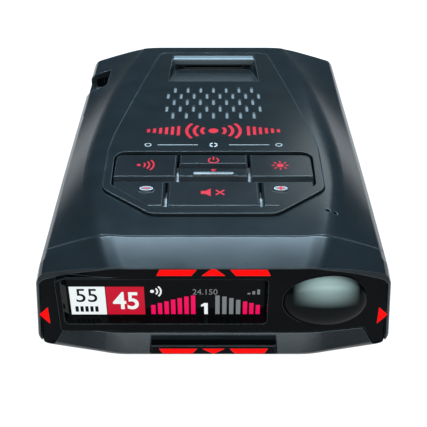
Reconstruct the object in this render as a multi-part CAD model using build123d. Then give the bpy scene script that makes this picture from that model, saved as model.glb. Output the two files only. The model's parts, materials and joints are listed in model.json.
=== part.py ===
"""Windscreen radar detector, in millimetres.

Frame: +Z up, the display end faces -Y, the antenna end faces +Y, and the origin is the centre of the
footprint on the surface that the case lies on. Every separate piece is written as its own node.
"""

from build123d import *
import math
import os

# ---------------------------------------------------------------- driving dimensions
HALF_LENGTH = 69.0          # display end to antenna end is 138
REAR_HALF = (45.6, 43.4)    # half width at the display end: at the base, and at the height LEVEL_Z
FRONT_HALF = (44.4, 42.8)   # the same at the antenna end, which is a little narrower
LEVEL_Z = 34.0
WALL = 2.0                  # moulded wall thickness
SEAM = 0.3                  # visible gap between two mouldings
FIT = 0.12                  # clearance between pieces that sit in each other
FLAT_HALF = 25.0            # half width of the flat middle of either end
SPLIT_Z = 13.0              # parting height of the two case halves
HEM_Z = 2.0                 # the lower case shows this much under the chin
SEAM_Y = -60.2              # middle of the seam between top cover and rear bezel
SWEEP = 0.316               # how fast the seam sweeps back outside its flat middle
END_SWEEP = (0.19, 0.42)    # the same for the display end: at the base, and at the height LEVEL_Z
FACE_SWEEP = 0.137          # the same for the glossy mask
SEAT_SWEEP = 0.19           # the same for the surface that the mask lies on

PLATEAU_Z = 33.9            # highest line of the crown, before the control panel
PLATEAU_Y = -35.0           # where that line is highest
EDGE_X, EDGE_Z = 43.5, 24.6  # the crown meets the side wall here
BEVEL_X = 42.0              # soft shoulder starts here and gets steeper further out
SHOULDER_X = 43.3
BEVEL_SLOPE, SHOULDER_SLOPE = 1.2, 2.8
HOOD_TILT = 15.0            # degrees that the hood over the display falls
PANEL_TILT = 0.45           # degrees that the control panel stands out of the crown
PANEL_HINGE_Y = 58.0        # the panel is flush with the crown here

MASK_Y = -66.0              # the glossy mask lies 3 behind the hood's lip
MASK_T = 1.25
RIM = 1.0                   # wall left between the mask and the case's sides
GLASS_Y = -63.0             # display glass at the bottom of its pocket
CHIN_Z = 7.5                # top of the chin
CHIN_TOP_Y = -66.35         # the chin leans back from the end of the case to here
CHIN_TOP_HALF = 38.2        # half width of the chin at its top and bottom
CHIN_FOOT_HALF = 42.2
LIP_Z = 30.7                # middle of the hood's lip
HOOD_LIP = 0.35             # its thickness
UNDERCUT = 17.0             # degrees that the hood's underside turns away from its top

BOARD_Z = 8.0               # underside of the main board
BOARD_T = 1.6
TOP_OF_BOARD = BOARD_Z + BOARD_T

PANEL_T = 2.4
MESH_SKIN = 1.0             # the panel is thinner over the speaker
KEY_GAP = 0.8               # between neighbouring keys
KEY_EDGE = 0.4              # between the keys and the edge of their well
KEY_BOTTOM = 29.6
KEY_FLANGE_TOP = 30.4
PAD_TOP = 28.7
PAD_BOTTOM = 27.6
ROW_SPLIT_Y = -35.7         # between the two rows of keys
MIDDLE_SPLIT_Y = -29.1      # between the power key and the mark key
UPPER_SPLIT_X = 9.7
LOWER_SPLIT_X = 12.35



# ---------------------------------------------------------------- helpers
def mirrored(right):
    """A closed outline from its right half, listed from one end to the other."""
    return right + [(-x, y) for x, y in reversed(right) if abs(x) > 1e-9]


def polygon(points):
    return make_face(Polyline(*points, close=True))


def rounded(face, radii):
    """Rounds the corners of a face: radii is a list of (|x|, y, radius)."""
    for x, y, radius in radii:
        corners = [v for v in face.vertices() if abs(abs(v.X) - x) < 1e-3 and abs(v.Y - y) < 1e-3]
        face = fillet(corners, radius)
    return face


def block(x, y, z):
    """A box from three (low, high) ranges."""
    size = [high - low for low, high in (x, y, z)]
    centre = [(high + low) / 2 for low, high in (x, y, z)]
    return Pos(*centre) * Box(*size)


def prism(face, low, high):
    """A plan outline raised from z low to z high."""
    return extrude(Pos(0, 0, low) * face, amount=high - low)


def along_y(face, low, high):
    """An outline drawn in X and Z, run from y low to y high."""
    placed = Plane(origin=(0, low, 0), x_dir=(1, 0, 0), z_dir=(0, -1, 0)) * face
    return extrude(placed, amount=high - low, dir=(0, 1, 0))


def along_x(face, low, high):
    """An outline drawn in Y and Z, run from x low to x high."""
    placed = Plane(origin=(low, 0, 0), x_dir=(0, 1, 0), z_dir=(1, 0, 0)) * face
    return extrude(placed, amount=high - low, dir=(1, 0, 0))


def plan_box(x, y, radius=0.0):
    """A plan rectangle from two ranges, with rounded corners."""
    face = Pos((x[0] + x[1]) / 2, (y[0] + y[1]) / 2) * Rectangle(x[1] - x[0], y[1] - y[0])
    return fillet(face.vertices(), radius) if radius else face


def disc(x, y, z, radius, height):
    """An upright cylinder standing on z."""
    return Pos(x, y, z + height / 2) * Cylinder(radius, height)


# ---------------------------------------------------------------- outer form of the case
def plateau_z(y):
    """Height of the crown's flat middle."""
    fall = 0.00063 if y > PLATEAU_Y else 0.0008
    return PLATEAU_Z - fall * (y - PLATEAU_Y) ** 2


def crease_x(y):
    """Half width of the crown's flat middle."""
    fall = 0.00112 if y > -22.0 else 0.0044
    return 33.0 - fall * (y + 22.0) ** 2


def crown_section(y):
    """One cross-section of the crown: flat middle, two wings and a soft shoulder at each side."""
    crease, top = crease_x(y), plateau_z(y)
    slope = (top - EDGE_Z) / (EDGE_X - crease)
    bevel_z = top - slope * (BEVEL_X - crease)
    shoulder_z = bevel_z - BEVEL_SLOPE * (SHOULDER_X - BEVEL_X)
    low = -6.0
    foot = SHOULDER_X + (shoulder_z - low) / SHOULDER_SLOPE
    right = [(foot, low), (SHOULDER_X, shoulder_z), (BEVEL_X, bevel_z), (crease, top)]
    rounds = [(crease, top, 10.0), (BEVEL_X, bevel_z, 2.5), (SHOULDER_X, shoulder_z, 1.2)]
    face = rounded(polygon(mirrored(right)), rounds)
    return Plane(origin=(0, y, 0), x_dir=(1, 0, 0), z_dir=(0, -1, 0)) * face


def make_crown():
    return loft([crown_section(y) for y in (-78.0, -50.0, -25.0, 5.0, 40.0, 78.0)])


def inset_outline(points, inset):
    """The right half of an outline with each of its straight sides moved in by the same distance."""
    whole = mirrored(points)
    lines = []
    for (x0, y0), (x1, y1) in zip(whole, whole[1:] + whole[:1]):
        length = math.hypot(x1 - x0, y1 - y0)
        nx, ny = -(y1 - y0) / length, (x1 - x0) / length
        lines.append((nx, ny, nx * x0 + ny * y0 + inset))
    corners = []
    for (a, b, c), (d, e, f) in zip(lines[-1:] + lines[:-1], lines):
        turn = a * e - b * d
        corners.append(((c * e - b * f) / turn, (a * f - c * d) / turn))
    return corners[:len(points)]


def case_outline(inset, z):
    """Plan of the case at one height: flat middles, swept corners, nearly parallel sides."""
    level = z / LEVEL_Z
    rear, front, sweep = (low + (high - low) * level for low, high in (REAR_HALF, FRONT_HALF, END_SWEEP))
    right = [(FLAT_HALF, -HALF_LENGTH), (rear, -HALF_LENGTH + (rear - FLAT_HALF) * sweep),
             (front, 60.4), (FLAT_HALF, HALF_LENGTH)]
    right = inset_outline(right, inset)
    radii = (30.0, max(0.5, 2.0 - inset), max(0.8, 5.0 - inset), 30.0)
    return rounded(polygon(mirrored(right)), [(*point, radius) for point, radius in zip(right, radii)])


def walls(inset=0.0):
    """Upright walls of the case, which lean in a little towards the top."""
    return loft([Pos(0, 0, z) * case_outline(inset, z) for z in (inset, 45.0)], ruled=True)


CROWN = make_crown()


def case_form(inset=0.0):
    """The outer form of the whole case, or the same form set in by a wall thickness."""
    body = walls(inset)
    foot = [e for e in body.edges() if e.bounding_box().max.Z < inset + 1e-4]
    body = fillet(foot, max(1.0, 4.5 - inset))
    form = (Pos(0, 0, -inset) * CROWN) & body
    # the antenna end leans back above the side walls
    front = polygon(mirrored([(60.0, -120.0), (60.0, 52.4), (FLAT_HALF, HALF_LENGTH)]))
    front = rounded(front, [(FLAT_HALF, HALF_LENGTH, 30.0)])
    lean = extrude(Pos(0, 18.0 - 1.2 * inset, -2.0) * front, amount=50.0, dir=(0, -0.6, 0.8))
    form = form & lean
    # the hood over the display falls towards the viewer
    hood = Pos(0, SEAM_Y, PLATEAU_Z - 0.5) * Rot(HOOD_TILT, 0, 0) * Pos(0, -SEAM_Y, 0.5 - PLATEAU_Z) * CROWN
    above_hood = block((-60, 60), (-80, -46), (8, 60)) - Pos(0, 0, -inset) * hood
    return form - above_hood


def behind(y, sweep=SWEEP):
    """The plan region towards the display end of a swept line whose middle is at y."""
    face = polygon(mirrored([(60.0, -120.0), (60.0, y + (60.0 - FLAT_HALF) * sweep), (FLAT_HALF, y)]))
    return rounded(face, [(FLAT_HALF, y, 30.0)])


def rear_zone(y, sweep=SWEEP):
    return prism(behind(y, sweep), -5.0, 60.0)


FORM = case_form()
CAVITY = case_form(WALL)
CAVITY_TIGHT = case_form(WALL + FIT)
INNER = case_form(WALL + 1.2)
MASK_FORM = case_form(0.35)


def tilted(angle, hinge_y, hinge_z, drop=0.0):
    """The crown turned about a line across the case, then lowered."""
    return Pos(0, hinge_y, hinge_z - drop) * Rot(angle, 0, 0) * Pos(0, -hinge_y, -hinge_z) * CROWN


def lowered(drop):
    return Pos(0, 0, -drop) * CROWN


def hood_form(drop):
    return tilted(HOOD_TILT, SEAM_Y, PLATEAU_Z - 0.5, drop)


def hood_underside(drop=0.0):
    """Everything under the hood, which is thin at its lip and thicker behind it."""
    turn = Pos(0, -HALF_LENGTH, LIP_Z - drop) * Rot(-UNDERCUT, 0, 0) * Pos(0, HALF_LENGTH, -LIP_Z)
    return turn * hood_form(HOOD_LIP)


def panel_form(drop=0.0):
    return tilted(-PANEL_TILT, PANEL_HINGE_Y, 28.4, drop)


# ---------------------------------------------------------------- positions shared by several pieces
POSTS = [(x, y) for x in (-36.5, 36.5) for y in (-46.0, 52.0)]
STANDOFFS = [(x, y) for x in (-22.0, 22.0) for y in (-30.0, 31.0)]
POST_R = 3.0

PANEL_RIGHT = [(18.9, 58.0), (24.8, 15.0), (28.6, -11.0), (29.3, -20.0), (28.9, -41.0), (15.9, -52.1)]
PANEL_RADII = (3.0, 30.0, 0.0, 8.0, 4.0, 4.0)
PANEL_ROUND = [(*point, radius) for point, radius in zip(PANEL_RIGHT, PANEL_RADII) if radius]
WELL_RIGHT = [(27.5, -21.8), (26.9, -39.2), (15.8, -49.4)]
WELL_ROUND = [(27.5, -21.8, 4.0), (26.9, -39.2, 2.5), (15.8, -49.4, 2.5)]

SLOT_ROWS = [(20.5, 7), (15.6, 8), (10.7, 7), (5.8, 8), (0.9, 7)]
SLOT_PITCH, SLOT_W, SLOT_L = 4.1, 0.9, 4.3
MESH_X, MESH_Y = 16.0, (-3.2, 24.6)
SPEAKER_Y = 10.7

DOCK_Y = (28.3, 52.5)       # the ramp's flush end and its deep end
DOCK_FLOOR = 24.5           # height of the ramp at its deep end
DOCK_HALF = 12.9            # half width of the floor at the deep end
DOCK_FLARE = 0.38           # the side walls lean out
STRIKE_Y = (52.6, 55.4)
STRIKE_Z = (26.6, 28.65)

SENSOR_HOLES = [(28.9, -49.3), (30.7, -49.7)]
SENSOR_HOLE_R = 0.6

POWER_Y, POWER_Z = 40.0, 14.65
AUDIO_Y, AUDIO_Z, AUDIO_R = 30.0, 12.75, 1.8
USB_Y, USB_Z = 16.0, 11.2
WINDOW_HALF, WINDOW_Z = 30.0, (8.8, 20.2)
LENS_X, LENS_Z, LENS_R = 22.0, 14.6, 4.6

DOME_X, DOME_Z = 27.5, 17.5
DOME_SIZE = (10.4, 3.3, 7.8)
DOME_Y = -65.7              # plane of the dome's rim

POCKET_FRONT = ((-37.3, 13.4), (10.2, 24.6))
POCKET_BACK = ((-36.4, 12.7), (10.4, 23.4))
BAR_Z = (2.35, 5.3)         # light bar in the chin


# ---------------------------------------------------------------- arrows around the display
def upper_arrows(grow=0.0):
    """Left bar, centre arrowhead and right bar over the display, in X and Z."""
    bar = [(-13.7, 25.9), (-12.9, 27.65), (-4.1, 27.65), (-5.4, 25.9)]
    head = [(-2.7, 25.9), (0.0, 28.3), (2.7, 25.9)]
    return three_marks(bar, head, grow)


def lower_arrows(grow=0.0):
    """The same marks upside down, in the chin."""
    bar = [(-13.7, 4.25), (-4.2, 4.25), (-5.4, 2.75), (-12.9, 2.75)]
    head = [(-2.7, 4.25), (2.7, 4.25), (0.0, 2.6)]
    return three_marks(bar, head, grow)


def three_marks(bar, head, grow):
    faces = [polygon(bar), polygon(head), polygon([(-x, z) for x, z in bar])]
    return [offset(face, amount=grow, kind=Kind.INTERSECTION) if grow else face for face in faces]


def side_arrow(side, grow=0.0):
    """Arrowhead that points outwards round a corner of the mask."""
    face = polygon([(-1.1, -2.6), (1.25, 0.0), (-1.1, 2.6)])
    if grow:
        face = offset(face, amount=grow, kind=Kind.INTERSECTION)
    if side < 0:
        face = mirror(face, Plane.YZ)
    origin = (side * 42.4, SEAM_Y, 11.0)
    across, outwards = (0.97, side * 0.13, 0), (side * 0.13, -0.97, 0)
    return extrude(Plane(origin=origin, x_dir=across, z_dir=outwards) * face, amount=6.0)


# ---------------------------------------------------------------- case
def socket_cuts():
    """Openings in the side walls for the power, headphone and data sockets."""
    power = block((-60, -39.2), (POWER_Y - 5.6, POWER_Y + 5.6), (POWER_Z - 4.1, 20.2))
    latch = block((-60, -36.0), (33.0, 47.0), (21.1, 60.0))
    audio = Pos(41.0, AUDIO_Y, AUDIO_Z) * Rot(0, 90, 0) * Cylinder(3.3, 12.0)
    usb = Pos(41.0, USB_Y, USB_Z) * Box(12.0, 8.6, 3.9)
    usb = fillet(usb.edges().filter_by(Axis.X), 1.2)
    return [power, latch, audio, usb]


def window_opening():
    opening = Pos(0, 66.0, sum(WINDOW_Z) / 2) * Box(2 * WINDOW_HALF, 30.0, WINDOW_Z[1] - WINDOW_Z[0])
    return fillet(opening.edges().filter_by(Axis.Y), 2.5)


def cut_all(shape, tools):
    for tool in tools:
        shape = shape - tool
    return shape


def panel_outline(grow=0.0):
    face = rounded(polygon(mirrored(PANEL_RIGHT)), PANEL_ROUND)
    return offset(face, amount=grow) if grow else face


def well_outline(grow=0.0):
    face = rounded(polygon(mirrored(WELL_RIGHT)), WELL_ROUND)
    return offset(face, amount=grow) if grow else face


def make_top_cover():
    shell = FORM & block((-60, 60), (-80, 80), (SPLIT_Z + SEAM / 2, 60))
    shell = shell - rear_zone(SEAM_Y + SEAM / 2) - CAVITY
    # screw posts and short ribs hang from the inside
    inside = Pos(0, 0, 0.4) * CAVITY
    for x, y in POSTS:
        rib = block(sorted((x, x + math.copysign(6.0, x))), (y - 0.8, y + 0.8), (SPLIT_Z + 1.0, 40))
        shell = shell + ((disc(x, y, TOP_OF_BOARD + 0.1, POST_R, 30.0) + rib) & inside)
    shell = cut_all(shell, [disc(x, y, 0, 1.1, 22.0) for x, y in POSTS])
    shell = shell - prism(panel_outline(SEAM), 20, 60)
    shell = cut_all(shell, [disc(x, y, 20, SENSOR_HOLE_R, 30.0) for x, y in SENSOR_HOLES])
    return cut_all(shell, socket_cuts() + [window_opening()])


def make_bottom_cover():
    shell = FORM & block((-60, 60), (-80, 80), (-1, SPLIT_Z - SEAM / 2))
    shell = shell - CAVITY
    shell = shell - (rear_zone(SEAM_Y + SEAM / 2) & block((-60, 60), (-80, 0), (HEM_Z - SEAM / 2, 40)))
    for x, y in POSTS:
        shell = shell + disc(x, y, 1.0, POST_R + 0.8, BOARD_Z - 1.0 - FIT)
    for x, y in STANDOFFS:
        shell = shell + (disc(x, y, 1.0, 2.4, BOARD_Z - 1.0) - disc(x, y, 3.0, 0.8, 10.0))
    shell = cut_all(shell, [disc(x, y, -1, 1.4, 20.0) for x, y in POSTS])
    shell = cut_all(shell, [disc(x, y, -1, 3.0, 4.2) for x, y in POSTS])
    # two stiffening ribs inside, a shallow recess for a plate outside
    for x in (-12.0, 12.0):
        shell = shell + block((x - 0.6, x + 0.6), (-50.0, 55.0), (1.5, 5.0))
    shell = shell - prism(plan_box((-24, 24), (-22, 22), 3.0), -1.0, 0.5)
    return cut_all(shell, socket_cuts() + [window_opening()])


def chin_zone(grow=0.0):
    """The chin as an outline in X and Z, run through the display end."""
    top, foot = CHIN_TOP_HALF + grow, CHIN_FOOT_HALF + grow
    face = polygon([(-foot, 0.5), (foot, 0.5), (top, CHIN_Z + grow), (-top, CHIN_Z + grow)])
    return along_y(face, -72.0, -50.0)


def chin_notch():
    """Gap in the chin that holds the light bar, in front of a thin back wall."""
    face = polygon([(-16.3, 1.0), (16.3, 1.0), (15.9, 6.9), (-15.9, 6.9)])
    return along_y(face, -72.0, -50.0) & rear_zone(-66.4, FACE_SWEEP)


def chin_lean():
    """What the chin's lean takes off the display end."""
    low = HEM_Z + SEAM / 2
    rise = (CHIN_TOP_Y + HALF_LENGTH) / (CHIN_Z - low)
    levels = ((low, -HALF_LENGTH, END_SWEEP[0]), (CHIN_Z + 1.0, CHIN_TOP_Y + rise, FACE_SWEEP))
    return loft([Pos(0, 0, z) * behind(y, sweep) for z, y, sweep in levels], ruled=True)


def above_hem(zone):
    return zone & block((-60, 60), (-80, 0), (HEM_Z + SEAM / 2, 60))


def mask_seat(gap):
    """Room for the mask in the bezel: under the hood, over the chin and inside the side walls."""
    foot, top = REAR_HALF[0] - RIM - gap, REAR_HALF[1] - RIM - gap
    inside = along_y(polygon([(-foot, 0), (foot, 0), (top, LEVEL_Z), (-top, LEVEL_Z)]), -80.0, -50.0)
    return (inside & rear_zone(MASK_Y + MASK_T - gap, SEAT_SWEEP) & hood_underside(gap)) - chin_zone(gap)


def make_rear_bezel():
    body = above_hem(FORM & rear_zone(SEAM_Y - SEAM / 2)) - INNER
    body = body - mask_seat(0.0) - chin_notch()
    body = body - (block((-38.8, 38.8), (-80, -56), (CHIN_Z + FIT, 25.5)) & hood_underside())
    body = body - (chin_lean() & chin_zone(0.2))
    for face in upper_arrows(FIT) + lower_arrows(FIT):
        body = body - along_y(face, -72.0, -58.0)
    # a tongue runs forward under the covers
    tongue = (CAVITY_TIGHT - INNER) & rear_zone(SEAM_Y + 3.0) & block((-60, 60), (-80, 0), (SPLIT_Z + 1, 60))
    body = body + (tongue - rear_zone(SEAM_Y - 2.0))
    return cut_all(body, [side_arrow(side, FIT) for side in (-1, 1)])


def frustum_y(front, back, front_y, back_y):
    """A straight-sided funnel between two rectangles given as (x range, z range)."""
    faces = []
    for (x, z), y in ((front, front_y), (back, back_y)):
        face = Pos((x[0] + x[1]) / 2, (z[0] + z[1]) / 2) * RectangleRounded(x[1] - x[0], z[1] - z[0], 1.2)
        faces.append(Plane(origin=(0, y, 0), x_dir=(1, 0, 0), z_dir=(0, -1, 0)) * face)
    return loft(faces, ruled=True)


def make_face_mask():
    skin = above_hem(MASK_FORM & mask_seat(FIT)) - rear_zone(MASK_Y, FACE_SWEEP)
    # a flat frame round the display, and room for the display behind it
    frame = block((-38.6, 14.7), (MASK_Y, GLASS_Y - 0.05), (CHIN_Z + 0.3, 25.2))
    frame = fillet(frame.edges().filter_by(Axis.Y), 1.2)
    mask = skin + (frame & hood_underside(FIT))
    mask = mask - frustum_y(POCKET_FRONT, POCKET_BACK, MASK_Y - 0.01, GLASS_Y)
    mask = mask - block((-37.2, 14.1), (GLASS_Y - 0.05, -55.0), (9.2, 24.3))
    hole = Ellipse(DOME_SIZE[0] + 0.1, DOME_SIZE[2] + 0.1)
    mask = mask - (Pos(DOME_X, -68, DOME_Z) * Rot(90, 0, 0) * extrude(hole, 12, both=True))
    for face in upper_arrows(FIT / 2):
        mask = mask - along_y(face, -72.0, -58.0)
    return cut_all(mask, [side_arrow(side, FIT / 2) for side in (-1, 1)])


def make_lower_light_bar():
    low, high = BAR_Z
    face = polygon([(-16.0, low), (16.0, low), (15.8, high), (-15.8, high)])
    bar = chamfer(along_y(face, -68.75, -66.45).edges().group_by(Axis.Y)[0], 0.25)
    for mark in lower_arrows(FIT / 2):
        bar = bar - along_y(mark, -72.0, -58.0)
    return bar


def make_upper_lights():
    return Compound([along_y(face, MASK_Y - 0.12, MASK_Y + 3.4) for face in upper_arrows()])


def make_lower_lights():
    return Compound([along_y(face, -68.85, -64.6) for face in lower_arrows()])


def make_side_light(side):
    return side_arrow(side) - rear_zone(MASK_Y - 0.12, FACE_SWEEP)


def make_front_window():
    width, height = 2 * (WINDOW_HALF - FIT), WINDOW_Z[1] - WINDOW_Z[0] - 2 * FIT
    pane = Pos(0, 66.0, sum(WINDOW_Z) / 2) * Box(width, 30.0, height)
    pane = fillet(pane.edges().filter_by(Axis.Y), 2.5 - FIT)
    return (pane & (Pos(0, -0.4, 0) * FORM)) - CAVITY


# ---------------------------------------------------------------- control panel and dock
def dock_pocket():
    """Wedge that the mount slides into: a ramp with flared side walls."""
    faces = []
    for y, floor, half in ((DOCK_Y[1], DOCK_FLOOR, DOCK_HALF), (DOCK_Y[0], 31.35, 14.9)):
        top = 36.0
        out = half + (top - floor) * DOCK_FLARE if y == DOCK_Y[1] else half + 1.4
        outline = polygon([(-half, floor), (half, floor), (out, top), (-out, top)])
        faces.append(Plane(origin=(0, y, 0), x_dir=(1, 0, 0), z_dir=(0, -1, 0)) * outline)
    return loft(faces, ruled=True)


def make_control_panel():
    plate = (prism(panel_outline(), 20, 50) & panel_form()) - lowered(PANEL_T)
    rim = prism(panel_outline(1.6), 20, 50) - prism(panel_outline(-0.6), 15, 55)
    rim = (rim & lowered(WALL + FIT)) - lowered(WALL + FIT + 1.2)
    skirt = prism(well_outline(1.7), PAD_BOTTOM, 32.5) - prism(well_outline(0.75), 20, 50)
    plate = plate + rim + (skirt & lowered(PANEL_T - 0.4)) - prism(well_outline(), 20, 60)
    thin = block((-MESH_X, MESH_X), MESH_Y, (20, 60)) & lowered(MESH_SKIN - 0.25)
    plate = plate - thin - dock_pocket()
    plate = plate - block((-14.6, 14.6), (DOCK_Y[1] - 0.5, STRIKE_Y[1] + 0.15), (20, 60))
    return plate - slots(0.0)


def slots(gap):
    """The speaker slots as upright bars, narrowed all round by a gap."""
    bars = []
    for y, count in SLOT_ROWS:
        for i in range(count):
            x = (i - (count - 1) / 2) * SLOT_PITCH
            face = SlotOverall(SLOT_L - 2 * gap, SLOT_W - 2 * gap, rotation=90)
            bars.append(Pos(x, y, 20) * extrude(face, amount=30))
    return Compound(bars)


def make_speaker_mesh():
    """Cloth over the speaker, pressed up into the slots."""
    sheet = block((-MESH_X + FIT, MESH_X - FIT), (MESH_Y[0] + FIT, MESH_Y[1] - FIT), (20, 60))
    sheet = sheet & lowered(MESH_SKIN - 0.2)
    return (sheet + (slots(0.06) & panel_form(0.3))) - lowered(MESH_SKIN + 0.3)


def make_mount_dock():
    tray = block((-16.6, 16.6), (27.0, 57.2), (20, 60)) & lowered(PANEL_T + 0.05)
    under = polygon([(20, 15), (60, 15), (60, 22.8), (DOCK_Y[1] + 0.5, 22.8), (27.0, 30.1), (20, 30.1)])
    tray = tray - along_x(under, -30, 30) - dock_pocket()
    tray = tray - block((-14.6, 14.6), (DOCK_Y[1] - 0.5, STRIKE_Y[1] + 0.15), (STRIKE_Z[0], 60))
    return tray - block((-10.5, 10.5), (50.0, 55.2), (25.2, 26.1))


def make_strike_bar():
    bar = block((-14.4, 14.4), STRIKE_Y, STRIKE_Z)
    return chamfer(bar.edges().group_by(Axis.Z)[-1], 0.35)


def make_dock_magnets():
    angle = -math.degrees(math.atan((31.35 - DOCK_FLOOR) / (DOCK_Y[1] - DOCK_Y[0])))
    return Compound([Pos(x, 42.0, 25.0) * Rot(angle, 0, 0) * Cylinder(4.0, 1.6) for x in (-7.0, 7.0)])


# ---------------------------------------------------------------- keys
KEY_CELLS = {
    "sensitivity_key": ((-40, -UPPER_SPLIT_X), (ROW_SPLIT_Y, 0)),
    "power_key": ((-UPPER_SPLIT_X, UPPER_SPLIT_X), (MIDDLE_SPLIT_Y, 0)),
    "mark_key": ((-UPPER_SPLIT_X, UPPER_SPLIT_X), (ROW_SPLIT_Y, MIDDLE_SPLIT_Y)),
    "brightness_key": ((UPPER_SPLIT_X, 40), (ROW_SPLIT_Y, 0)),
    "volume_down_key": ((-40, -LOWER_SPLIT_X), (-60, ROW_SPLIT_Y)),
    "mute_key": ((-LOWER_SPLIT_X, LOWER_SPLIT_X), (-60, ROW_SPLIT_Y)),
    "volume_up_key": ((LOWER_SPLIT_X, 40), (-60, ROW_SPLIT_Y)),
}
NUBS = {
    "mark_key": (0.0, -33.2, 11.6, 1.5),
    "volume_down_key": (-17.5, -40.6, 4.2, 2.5),
    "volume_up_key": (17.5, -40.6, 4.2, 2.5),
}


def edge_bevel(start, end, run, drop, z):
    """Wedge that takes the top corner off an edge, with the key on its left-hand side."""
    length = math.dist(start, end)
    direction = ((end[0] - start[0]) / length, (end[1] - start[1]) / length, 0)
    inwards = (-direction[1], direction[0], 0)
    origin = (start[0] - 3 * direction[0], start[1] - 3 * direction[1], z)
    wedge = polygon([(-2 * run, -3 * drop), (2 * run, drop), (-2 * run, drop + 2)])
    return extrude(Plane(origin=origin, x_dir=inwards, z_dir=direction) * wedge, amount=length + 6)


def make_key(name):
    x, y = KEY_CELLS[name]
    half = KEY_GAP / 2
    cell = plan_box((x[0] + half, x[1] - half), (y[0] + half, y[1] - half))
    top = prism(cell & well_outline(-KEY_EDGE), KEY_BOTTOM, 50)
    upright = [e for e in top.edges().filter_by(Axis.Z) if e.length > 10]
    sharp = [e for e in upright if min(abs(e.center().X - end) for end in x) < half + 0.1]
    if sharp:
        top = fillet(sharp, 0.6)
    key = top & lowered(-0.05)
    box = key.bounding_box()
    near, far, left, right = box.min.Y, box.max.Y, box.min.X, box.max.X
    z = plateau_z(near)
    key = key - edge_bevel((left, near), (right, near), 1.3, 1.1, z)
    key = key - edge_bevel((right, far), (left, far), 0.7, 0.5, plateau_z(far))
    key = key - edge_bevel((left, far), (left, near), 0.35, 0.3, z)
    key = key - edge_bevel((right, near), (right, far), 0.35, 0.3, z)
    flange = prism(cell & well_outline(0.3), KEY_BOTTOM, KEY_FLANGE_TOP)
    key = key + flange
    if name in NUBS:
        nx, ny, width, depth = NUBS[name]
        shape = SlotOverall(width, depth) if width > 2 * depth else Ellipse(width / 2, depth / 2)
        nub = prism(Pos(nx, ny) * shape, 31.0, plateau_z(ny) + 0.55)
        key = key + fillet(nub.edges().group_by(Axis.Z)[-1], 0.4)
    return key


def switch_spots():
    """Middle of every key, where its switch stands."""
    spots = {}
    for name, (x, y) in KEY_CELLS.items():
        cx = (max(x[0], -26.5) + min(x[1], 26.5)) / 2
        cy = (max(y[0], -47.0) + min(y[1], -22.4)) / 2
        spots[name] = (cx, cy)
    return spots


def make_key_pad():
    pad = prism(well_outline(0.5), PAD_BOTTOM, PAD_TOP)
    for x, y in switch_spots().values():
        pad = pad - disc(x, y, PAD_BOTTOM - 1, 2.4, 1.0 + 0.55)
    return pad


def make_key_board():
    board = prism(plan_box((-30.0, 32.6), (-52.0, -20.0), 2.0), PAD_BOTTOM - 1.05, PAD_BOTTOM - 0.05)
    return cut_all(board, [disc(x, y, 20, POST_R + 0.9, 20) for x, y in POSTS])


def make_key_switches():
    return Compound([disc(x, y, PAD_BOTTOM - 0.05, 2.0, 0.45) for x, y in switch_spots().values()])


def make_light_sensor():
    x, y = SENSOR_HOLES[0]
    return block((x - 1.2, x + 0.6), (y - 0.8, y + 1.2), (PAD_BOTTOM - 0.05, PAD_BOTTOM + 0.9))


def make_microphone():
    x, y = SENSOR_HOLES[1]
    return disc(x + 0.5, y - 0.6, PAD_BOTTOM - 0.05, 0.9, 1.1)


# ---------------------------------------------------------------- display end, inside
def make_display_window():
    return block((-36.7, 13.8), (GLASS_Y, GLASS_Y + 0.9), (9.6, 24.0))


def make_display_module():
    return block((-36.0, 13.2), (GLASS_Y + 0.95, GLASS_Y + 2.6), (9.8, 23.6))


def make_display_board():
    board = block((-33.5, 36.0), (GLASS_Y + 2.7, GLASS_Y + 3.7), (9.9, 25.0))
    return board - block((6.0, 22.4), (-70, -50), (9.0, 10.4))


def make_dome():
    shell = scale(Sphere(1.0), by=DOME_SIZE) - scale(Sphere(1.0), by=tuple(v - 1.3 for v in DOME_SIZE))
    shell = shell & block((-20, 20), (-20, 0), (-20, 20))
    rim = Ellipse(DOME_SIZE[0], DOME_SIZE[2]) - Ellipse(DOME_SIZE[0] - 1.3, DOME_SIZE[2] - 1.3)
    return Pos(DOME_X, DOME_Y, DOME_Z) * (shell + Rot(90, 0, 0) * extrude(rim, amount=-1.0))


def make_rear_laser_sensor():
    cup = Cylinder(5.0, 3.6) - Pos(0, 0, 1.0) * Cylinder(3.8, 3.6)
    cup = Pos(DOME_X, -62.1, DOME_Z) * Rot(90, 0, 0) * cup
    return cup + Pos(DOME_X, -61.6, DOME_Z) * Box(3.0, 1.6, 3.0)


# ---------------------------------------------------------------- main board and what stands on it
def make_main_board():
    board = prism(case_outline(3.9, TOP_OF_BOARD), BOARD_Z, TOP_OF_BOARD)
    board = board & block((-60, 60), (-56.5, 63.0), (0, 20))
    board = cut_all(board, [disc(x, y, 0, 1.6, 20) for x, y in POSTS])
    return cut_all(board, [disc(x, y, 0, 1.1, 20) for x, y in STANDOFFS])


def horn(throat, mouth, throat_y, mouth_y, wall):
    """Open horn between two rectangles given as (x, z, width, height)."""
    solids = []
    for extra in (wall, 0.0):
        over = 0.0 if extra else 0.5
        faces = []
        for (x, z, w, h), y in ((throat, throat_y), (mouth, mouth_y)):
            face = Pos(x, z) * Rectangle(w + 2 * extra, h + 2 * extra)
            out = math.copysign(over, mouth_y - throat_y) if y == mouth_y else 0.0
            faces.append(Plane(origin=(0, y + out, 0), x_dir=(1, 0, 0), z_dir=(0, -1, 0)) * face)
        solids.append(loft(faces, ruled=True))
    return solids[0] - solids[1]


def make_front_horn():
    guide = block((-4.6, 4.6), (12.1, 23.0), (TOP_OF_BOARD, 14.4))
    return guide + horn((0, 12.6, 7.0, 3.2), (0, 16.0, 29.0, 10.6), 22.5, 63.5, 0.9)


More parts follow.
